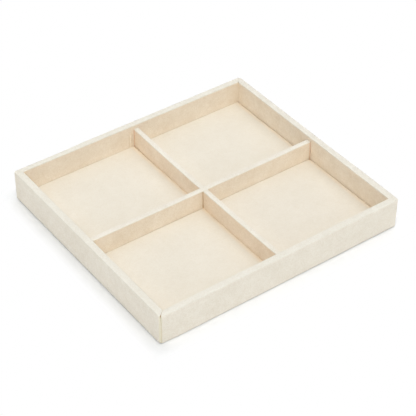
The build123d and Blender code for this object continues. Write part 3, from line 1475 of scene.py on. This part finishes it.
@dataclass
class DividerCover:
    """The suede over one divider board, slotted where the other divider crosses it.

    Attributes:
        run: Which way the divider runs.
        cloth: Thickness of the suede.
        edge_radius, edge_facets: Radius of its folds, and the facets round each.
        cell, end_margin: Distance between the points of the sheet, and from its ends to them.
        crossing_cells, pucker_cells: From where to where they lie closer, and how close: at the
            crossing, and before the far end.
        top_cut: How far off the middle the top is cut lengthwise.
        slack: How far the cloth stands off the board in places.
        billow_size, billow_share: Size of those places, and how much the slack differs there.
        dimple, dimple_size: Height and size of the finest dimples.
        offset: How far the whole cover sits to one side.
        bow: How far its middle lies off to the other side of its ends, halved.
        bow_middle: Where along the divider that bow is deepest.
        foot_share: How much of the cover's offset and bow is left at its foot.
        upright_end, upright_reach: How far its far end stands upright again, and from where on.
        pinch: How much of offset and bow is lost where the dividers cross.
        crossing: How far the other divider lies off the middle where they cross.
        crossing_reach: How far along the divider the crossing is felt.
        crossing_lean: How much further to the right the other divider's foot stands there.
        lap_share: Height of the half-lap as a share of the divider's height.
        slit: Width of the gap beside the other divider.
        open_slit, open_reach: Width of that gap on its open side, in the near left compartment,
            and how far from it the cloth is drawn back.
        slit_top: How far below the top the open slit ends.
        overlap: How far the crosswise cover's top reaches over the other one's rounding.
        shy, shy_reach: How far its far end stops short of the wall, and from where on.
        pucker, pucker_row: Height of the ridges near the far end, and their places before it.
        pucker_fade: How far under the top they stand.
        sides: Painted-shade tones of the cover's sides.
        foot_shade: How much painted shade shows at the foot of its ends, from 0 to 1.
    """

    run: Run
    cloth: float = 0.58 * MM
    edge_radius: float = 0.5 * MM
    edge_facets: int = 4
    cell: float = 2.2 * MM
    end_margin: float = 2 * MM
    crossing_cells: Cells = (-7 * MM, 7 * MM, 0.5 * MM)
    pucker_cells: Cells = (-10 * MM, -1.2 * MM, 0.4 * MM)
    top_cut: float = 0.5 * MM
    slack: float = 0.06 * MM
    billow_size: float = 22 * MM
    billow_share: float = 0.4
    dimple: float = 0.03 * MM
    dimple_size: float = 5 * MM
    offset: float = 0.0
    bow: float = 0.0
    bow_middle: float = 0.0
    crossing: float = 0.0
    crossing_reach: float = 4 * MM
    crossing_lean: float = 0.0
    lap_share: float = 0.5
    slit: float = 0.12 * MM
    open_slit: float = 0.5 * MM
    open_reach: float = 3 * MM
    slit_top: float = 0.7 * MM
    foot_share: float = 1.0
    upright_end: float = 0.0
    upright_reach: float = 30 * MM
    pinch: float = 0.0
    # Painted shade on the cover's sides.
    sides: Tones = Suede.shade_tones
    foot_shade: float = 0.0
    overlap: float = 0.3 * MM
    shy: float = 0.0
    shy_reach: float = 6 * MM
    pucker: float = 0.0
    pucker_row: tuple[Ridge, ...] = (
        Ridge(3.0 * MM, 0.45 * MM),
        Ridge(4.6 * MM, 0.5 * MM, 0.7),
        Ridge(6.4 * MM, 0.6 * MM, 0.6),
    )
    pucker_fade: Span = (1.5 * MM, 4.5 * MM)
    low: Vector = field(init=False)
    high: Vector = field(init=False)

    @property
    def side(self) -> str:
        """The run as the frame's nodes name it."""
        return self.run.name.lower()

    def __post_init__(self) -> None:
        """Reads the cover's box from the frame."""
        self.low, self.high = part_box(f"divider_cover_{self.side}")

    @property
    def lap(self) -> float:
        """Height at which the two dividers are slotted into each other."""
        return self.low.z + (self.high.z - self.low.z) * self.lap_share

    @property
    def half(self) -> float:
        """Half of the divider's thickness."""
        return self.high[self.run.across.value]

    @property
    def end(self) -> float:
        """Half of the divider's length."""
        return self.high[self.run.value.value]

    @property
    def near(self) -> float:
        """Where the cloth is cut on the near or left side of the other divider."""
        return self.crossing - self.half - self.slit

    def build(self) -> None:
        """Models the cover and hands it over."""
        along = self.run.value
        bench = Bench(f"suede_divider_{self.side}", self.low, self.high)
        bench.pick(Part.FACE, downward).remove()
        bench.pick(Part.EDGE, lambda edge: len(edge.link_faces) == 2)
        bench.bevel(self.edge_radius, self.edge_facets)
        inside = self.end - self.end_margin
        bench.cut(along, *steps(-inside, inside, self.cell), *steps(*self.crossing_cells))
        if self.pucker:
            low, high, cell = self.pucker_cells
            bench.cut(along, *steps(self.end + low, self.end + high, cell))
        bench.cut(self.run.across, -self.top_cut, self.top_cut)
        bench.cut(Along.Z, *steps(self.low.z, self.high.z - self.edge_radius, self.cell))
        bench.cut(Along.Z, self.high.z - self.slit_top, self.high.z - 2 * self.slit_top)
        self._slot(bench)
        if self.run is Run.LENGTHWISE:
            bench.pick(Part.EDGE, self._on_slit).split()
        bench.shape(self._settle)
        suede = DividerSuede(
            f"cream_suede_{self.side}",
            shade_tones=self.sides,
            # Painted light on the divider's top.
            painted_lighting_tone=dye(246, 246, 242),
            painted_lighting_share=0.12,
            brush_share=0.75,
            tuft_share=1.8,
            top=self.high.z / MM,
            axis=along.name,
            end=self.end / MM,
            crossing=self.crossing / MM,
            half=self.half / MM,
            foot_shade=self.foot_shade,
        )
        cover = bench.thicken(self.cloth, suede)
        height = self.high.z - self.low.z
        flat = (2 * height + 2 * self.half, 2 * self.end + 2 * self.half)
        hand_over(cover, f"divider_cover_{self.side}")

    def _slot(self, bench: Bench) -> None:
        """Cuts the slot for the other divider: from below in the one, from above in the other.

        Args:
            bench: The workpiece.
        """
        along = self.run.value
        far = self.crossing + self.half + self.slit
        bench.cut(along, self.near, far).cut(Along.Z, self.lap)
        from_below = self.run is Run.LENGTHWISE

        def in_slot(face: bmesh.types.BMFace) -> bool:
            """A face between the slot's sides, on its open side of the lap."""
            middle = face.calc_center_median()
            return self.near < middle[along.value] < far and (middle.z < self.lap) == from_below

        bench.pick(Part.FACE, in_slot).remove()

    def _on_slit(self, edge: bmesh.types.BMEdge) -> bool:
        """Whether an edge over the lap is where the near side's cloth is slit beside the other.

        Args:
            edge: The edge.

        Returns:
            Whether it is.
        """
        a, b = ends(edge)
        beside = max(abs(a.x - self.near), abs(b.x - self.near)) < HAIR
        on_near_side = max(a.y, b.y) < NEAR - self.half
        over_lap = min(a.z, b.z) > self.lap - NEAR
        return beside and on_near_side and over_lap and max(a.z, b.z) < self._slit_end + HAIR

    @property
    def _slit_end(self) -> float:
        """Height at which the open slit ends."""
        return self.high.z - self.slit_top

    def _settle(self, place: Vector, normal: Vector, own: Vector) -> Vector:
        """How a point of the cloth moves from the plain fold to where it lies.

        Args:
            place: The point.
            normal: Its outward normal.
            own: The way to its own faces.

        Returns:
            The move.
        """
        along, across = self.run.value, self.run.across
        reach, to_end = place[along.value], self.end - place[along.value]
        billows = 1.0 - self.billow_share + self.billow_share * ripple(place, self.billow_size)
        stand = self.slack * billows + self.dimple * ripple(place, self.dimple_size)
        bend = 1.0 - 2.0 * ((reach - self.bow_middle) / self.end) ** 2
        up = (place.z - self.low.z) / (self.high.z - self.low.z)
        far = self.upright_end * ease(to_end, self.upright_reach, 0.0)
        lean = self.foot_share + (1.0 - self.foot_share) * max(up, far)
        beside = swell(reach, self.crossing, self.crossing_reach)
        lean *= 1.0 - self.pinch * beside
        if self.pucker and place[across.value] < 0.0:
            fade = climb(self.high.z - place.z, *self.pucker_fade)
            stand += self.pucker * ridges(to_end, self.pucker_row) * fade
        shift = self.crossing_lean * (1.0 - up) * beside
        shift -= self.shy * climb(to_end, self.shy_reach, 0.0)
        move = normal * stand + along.direction * shift
        move += across.direction * (self.offset + self.bow * bend) * lean
        return move + self._open_slit(place, own) + self._meet(place)

    def _meet(self, place: Vector) -> Vector:
        """Draws the crosswise cover's top up to the other divider, over its rounded fold.

        Args:
            place: The point.

        Returns:
            The move.
        """
        along = self.run.value
        off = place[along.value] - self.crossing
        rise = place.z - (self.high.z - self.edge_radius)
        at_cut = abs(abs(off) - self.half - self.slit) < HAIR
        if self.run is Run.LENGTHWISE or not at_cut or rise < 0.0:
            return Vector()
        rounding = self.edge_radius - math.sqrt(max(0.0, self.edge_radius**2 - rise**2))
        pull = min(rounding, self.overlap) + self.slit * ease(rise, 0.0, self.edge_radius)
        return along.direction * -math.copysign(pull, off)

    def _open_slit(self, place: Vector, own: Vector) -> Vector:
        """Draws the lengthwise cover's near side back from the other divider, on the left.

        Args:
            place: The point.
            own: The way to its own faces, which tells the slit's lips apart.

        Returns:
            The move.
        """
        back = self.near - place.x
        far_lip = abs(back) < HAIR and own.x > 0.0
        drawn = self.run is Run.LENGTHWISE and place.y <= 0.0 and -HAIR < back < self.open_reach
        if far_lip or not drawn:
            return Vector()
        opened = ease(place.z, self._slit_end, self._slit_end - self.slit_top)
        fade = 1.0 - back / self.open_reach
        return Vector((-(self.open_slit - self.slit) * opened * fade, 0.0, 0.0))


@dataclass
class FloorPad:
    """The suede over one floor card: a slightly crowned top, rolled edges and a turn-under.

    Attributes:
        place: Which compartment it lies in, as the frame's nodes name it.
        cloth: Thickness of the suede.
        corner_radius, edge_radius: Radius of the upright corners and of the roll round the top.
        edge_facets: Facets round each of those.
        foot_radius, foot_facets: Radius and facets of the fold round the bottom.
        turn_under: How far the cloth is turned under.
        cell, end_margin: Distance between the points of the sheet, and from its edges to them.
        crown, crown_share: How far the middle stands up, and how much of that is everywhere.
        crown_square: How squarely the crown follows the pad's edges.
        lie_size, lie_height: Size of the places where the cloth lies higher, and how much.
        drift, drift_sizes: How far the cloth is pulled aside in places, and their size for each
            axis.
        spread: How far each side stands out towards its wall.
        nudge_x, nudge_y: How far the pad was pushed to the right and to the back.
        blunt, blunt_reach: How far its back right corner is cut off, and how far from it.
        tones: The tones of its suede.
    """

    place: str
    cloth: float = 0.55 * MM
    corner_radius: float = 0.9 * MM
    edge_radius: float = 0.8 * MM
    edge_facets: int = 4
    foot_radius: float = 0.3 * MM
    foot_facets: int = 2
    turn_under: float = 9.0 * MM
    cell: float = 4.0 * MM
    end_margin: float = 1.5 * MM
    crown: float = 0.2 * MM
    crown_share: float = 0.6
    crown_square: int = 4
    lie_size: float = 24 * MM
    lie_height: float = 0.06 * MM
    drift: float = 0.06 * MM
    drift_sizes: tuple[float, float] = (31 * MM, 27 * MM)
    spread: float = 0.12 * MM
    nudge_x: float = 0.0
    nudge_y: float = 0.0
    blunt: float = 0.0
    blunt_reach: float = 1.5 * MM
    tones: Tones = Suede.open_tones
    low: Vector = field(init=False)
    high: Vector = field(init=False)

    def __post_init__(self) -> None:
        """Reads the pad's box from the frame."""
        self.low, self.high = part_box(f"pad_cover_{self.place}")

    def build(self) -> None:
        """Models the pad's cloth and hands it over."""
        bench = Bench(f"suede_floor_pad_{self.place}", self.low, self.high)
        bench.pick(Part.FACE, downward).inset(self.turn_under).remove()
        bench.pick(Part.EDGE, upright).bevel(self.corner_radius, self.edge_facets)
        for level, radius, facets in (
            (self.high.z, self.edge_radius, self.edge_facets),
            (self.low.z, self.foot_radius, self.foot_facets),
        ):

            def edging(edge: bmesh.types.BMEdge) -> bool:
                """An edge round the pad at that level."""
                return folded(edge) and abs(edge.verts[0].co.z - level) < HAIR

            bench.pick(Part.EDGE, edging).bevel(radius, facets)
        for axis in (Along.X, Along.Y):
            low, high = self.low[axis.value], self.high[axis.value]
            bench.cut(axis, *steps(low + self.end_margin, high - self.end_margin, self.cell))
        bench.shape(self._settle)
        suede = FloorSuede(f"cream_suede_{self.place}", self.tones, right_x=self.high.x / MM)
        pad = bench.thicken(self.cloth, suede)
        size = self.high - self.low
        under = 2 * (self.turn_under + size.z)
        flat = (size.y + under, size.x + under)
        hand_over(pad, f"pad_cover_{self.place}")

    def _settle(self, place: Vector, normal: Vector, own: Vector) -> Vector:
        """How a point of the cloth moves from the plain fold to where it lies.

        Args:
            place: The point.
            normal: Its outward normal; not used.
            own: The way to its own faces; not used.

        Returns:
            The move.
        """
        half = (self.high - self.low) / 2
        u, v, w = ((p - m) / h for p, m, h in zip(place, (self.low + self.high) / 2, half))
        crown = self.crown * held(1.0 - u**self.crown_square) * held(1.0 - v**self.crown_square)
        lie = billow(place, self.lie_size)
        crown *= self.crown_share + (1.0 - self.crown_share) * lie
        pull_x, pull_y = (self.drift * ripple(place, size) for size in self.drift_sizes)
        corner = Vector((self.high.x - place.x, self.high.y - place.y))
        cut_off = self.blunt * swell(corner.length, 0.0, self.blunt_reach)
        x = pull_x + u * self.spread - cut_off + self.nudge_x
        y = pull_y + v * self.spread - cut_off + self.nudge_y
        return Vector((x, y, max(0.0, w) * (crown + self.lie_height * lie)))


@dataclass
class CardAndBoard:
    """The boards, cards and bottom sheet, which keep their solids and get their finishes.

    Attributes:
        fibreboard: Finish of the frame's boards and the dividers' boards.
        greyboard: Finish of the floor cards.
        paper: Finish of the sheet underneath.
    """

    fibreboard: Board = Board("fibreboard", dye(196, 152, 104), dye(158, 114, 70), dye(96, 64, 38))
    greyboard: Board = Board(
        "greyboard", dye(176, 171, 162), dye(146, 141, 133), dye(92, 88, 84), grain_size=0.9
    )
    paper: CoveringPaper = CoveringPaper("covering_paper", dye(233, 226, 210), dye(217, 208, 190))

    def build(self) -> None:
        """Dresses each solid that stays."""
        boards = ["base_board", "divider_board_lengthwise", "divider_board_crosswise"]
        boards += [f"wall_board_{side}" for side in ("front", "back", "left", "right")]
        cards = [f"pad_card_{y}_{x}" for y in ("front", "back") for x in ("left", "right")]
        finishes = dict.fromkeys(boards, self.fibreboard) | dict.fromkeys(cards, self.greyboard)
        for name, finish in (finishes | {"bottom_sheet": self.paper}).items():
            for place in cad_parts[name].material_slots:
                place.material = finish.shared()
        log.info("%d boards, %d cards and the bottom sheet dressed", len(boards), len(cards))


# Studio


@dataclass
class PhotoCamera:
    """The camera where the photograph was taken from.

    Attributes:
        place: Where it stands.
        target: The point in the middle of the picture.
        roll: How far it is turned about its own axis, in radians.
        focal: Focal length in pixels of the square picture.
        sensor: Width of the sensor in millimetres.
        clip: The nearest and the farthest distance that it sees.
    """

    place: tuple[float, float, float] = (-0.504153, -0.681973, 0.716198)
    target: tuple[float, float, float] = (0.005662, 0.002295, 0.0)
    roll: float = 0.013
    focal: float = 1419.86
    sensor: float = 36.0
    clip: tuple[float, float] = (0.01, 50.0)

    def build(self) -> None:
        """Sets the camera up and makes it the scene's."""
        bpy.ops.object.select_all(action="DESELECT")
        bpy.ops.object.camera_add(location=self.place)
        camera = bpy.context.active_object
        camera.name = "photo_camera"
        aim = (Vector(self.target) - Vector(self.place)).to_track_quat("-Z", "Y")
        camera.rotation_mode = "QUATERNION"
        camera.rotation_quaternion = aim @ Quaternion((0.0, 0.0, 1.0), self.roll)
        camera.data.sensor_width = self.sensor
        camera.data.lens = self.sensor * self.focal / IMAGE_SIDE
        camera.data.clip_start, camera.data.clip_end = self.clip
        bpy.context.scene.camera = camera


@dataclass(frozen=True)
class SoftLight:
    """One broad soft lamp, far enough away to light the whole tray evenly.

    Attributes:
        name: The lamp's name.
        bearing: The way to it in plan, in degrees from the frame's X towards Y.
        height: How high it stands, in degrees above the floor.
        level: How bright a white card turned to it looks, where 1 is white.
        spread: How wide it looks from the tray, in degrees.
        away: How far from the tray it hangs.
    """

    name: str
    bearing: float
    height: float
    level: float
    spread: float = 40.0
    away: float = 2.0

    def build(self) -> None:
        """Hangs the lamp and turns it to the tray."""
        bearing, height = math.radians(self.bearing), math.radians(self.height)
        out = math.cos(height)
        way = Vector((math.cos(bearing) * out, math.sin(bearing) * out, math.sin(height)))
        bpy.ops.object.select_all(action="DESELECT")
        bpy.ops.object.light_add(type="SUN", location=way * self.away)
        lamp = bpy.context.active_object
        lamp.name = self.name
        lamp.data.energy = self.level * math.pi
        lamp.data.angle = math.radians(self.spread)
        lamp.rotation_mode = "QUATERNION"
        lamp.rotation_quaternion = (-way).to_track_quat("-Z", "Y")


@dataclass
class Studio:
    """A pale floor in a white tent, with soft lamps over it.

    Attributes:
        tent: Strength of the tent's light on the object.
        floor_side: Length of the floor's side.
        floor_pale: How much light the floor gives back to the object.
        floor_near: The floor's colour close to the tray, where the cream cloth would tint it.
        shadow_reach: How far from the tray its shadow starts to fade to the eye, and has faded out,
            in millimetres.
        lamps: A key lamp over the near corner, two more overhead, and a lower ring round the tray.
    """

    tent: float = 0.08
    floor_side: float = 8.0
    floor_pale: float = 0.86
    floor_near: Colour = (0.977, 0.991, 1.0, 1.0)
    shadow_reach: Span = (4.0, 12.0)
    lamps: tuple[SoftLight, ...] = (
        SoftLight("near_key", 225.0, 60.0, 0.40),
        SoftLight("far_top", 45.0, 60.0, 0.196),
        SoftLight("right_top", 315.0, 60.0, 0.12),
        SoftLight("right_side", 0.0, 30.0, 0.128),
        SoftLight("back_side", 90.0, 30.0, 0.196),
        SoftLight("front_side", 270.0, 30.0, 0.157),
        SoftLight("left_low", 180.0, 12.0, 0.241),
        SoftLight("front_low", 270.0, 12.0, 0.12),
    )

    def build(self) -> None:
        """Puts up the tent, lays the floor and hangs the lamps."""
        self._tent()
        self._floor(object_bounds()[1] / MM)
        for lamp in self.lamps:
            lamp.build()

    @staticmethod
    def _seen(work: Recipe) -> Wire:
        """1 where the camera sees a surface itself, in a mirror or through glass.

        Args:
            work: The recipe to add nodes to.

        Returns:
            1 there, and 0 elsewhere.
        """
        rays = ("Is Camera Ray", "Is Glossy Ray", "Is Transmission Ray")
        seen, mirrored, through = (work.add("ShaderNodeLightPath", out=ray) for ray in rays)
        return (seen + mirrored + through).held()

    def _tent(self) -> None:
        """White all round: full white to the eye, and a plain level of light on the object."""
        world = bpy.data.worlds.new("tent")
        world.use_nodes = True
        bpy.context.scene.world = world
        work = Recipe(world.node_tree)
        strength = self.tent + self._seen(work) * (1.0 - self.tent)
        tent = work.add("ShaderNodeBackground", {}, {"Color": WHITE, "Strength": strength})
        work.add("ShaderNodeOutputWorld", {}, {"Surface": tent})

    def _floor(self, tray: Vector) -> None:
        """A white floor that keeps the tray's soft shadow.

        Args:
            tray: The tray's highest corner, in millimetres.
        """
        bpy.ops.object.select_all(action="DESELECT")
        bpy.ops.mesh.primitive_plane_add(size=self.floor_side)
        floor = bpy.context.active_object
        floor.name = "studio_floor"
        floor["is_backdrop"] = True
        paint = bpy.data.materials.new("white_floor")
        paint.use_nodes = True
        work = Recipe(paint.node_tree)
        place = work.place()
        off = (abs(place.axis("X")) - tray.x).most(abs(place.axis("Y")) - tray.y)
        seen = self._seen(work)
        colour = work.mix(seen, (self.floor_pale,) * 3 + (1.0,), self.floor_near)
        matt = work.add("ShaderNodeBsdfDiffuse", {}, {"Color": colour})
        white = work.add("ShaderNodeEmission", {}, {"Color": WHITE, "Strength": 1.0})
        beyond = off.rise(*self.shadow_reach)
        ground = work.add("ShaderNodeMixShader", {}, {0: seen * beyond, 1: matt, 2: white})
        work.add("ShaderNodeOutputMaterial", {}, {"Surface": ground})
        floor.data.materials.append(paint)


def main() -> None:
    """Builds the tray's looks, the studio and the camera."""
    logging.basicConfig(level=logging.INFO, format="%(name)s %(message)s")
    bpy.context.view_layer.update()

    CardAndBoard().build()
    OuterWrap().build()
    DividerCover(
        Run.LENGTHWISE,
        offset=0.3 * MM,
        bow=-0.15 * MM,
        crossing=-0.16 * MM,
        crossing_lean=0.17 * MM,
        foot_share=-0.8,
        shy=0.2 * MM,
        pucker=0.3 * MM,
        # Painted shade at the foot of its ends.
        foot_shade=0.65,
    ).build()
    DividerCover(
        Run.CROSSWISE,
        offset=-0.1 * MM,
        bow=-0.48 * MM,
        bow_middle=-12 * MM,
        crossing=0.15 * MM,
        foot_share=0.3,
        upright_end=1.0,
        pinch=0.5,
        # Painted shade on the crosswise divider's sides.
        sides=Tones(dye(247, 232, 213), dye(233, 214, 190)),
    ).build()
    FloorPad("front_left", nudge_x=0.12 * MM, nudge_y=-0.04 * MM).build()
    FloorPad(
        "front_right",
        nudge_x=-0.07 * MM,
        nudge_y=-0.04 * MM,
        blunt=0.9 * MM,
        tones=Tones(dye(243.5, 238, 226), dye(231.5, 224, 209)),
    ).build()
    FloorPad("back_left", nudge_x=0.2 * MM, nudge_y=-0.05 * MM).build()
    FloorPad("back_right", nudge_x=-0.05 * MM, nudge_y=-0.05 * MM).build()

    Studio().build()
    PhotoCamera().build()
    bpy.context.scene.view_settings.view_transform = "Standard"


if __name__ == "__main__":
    main()
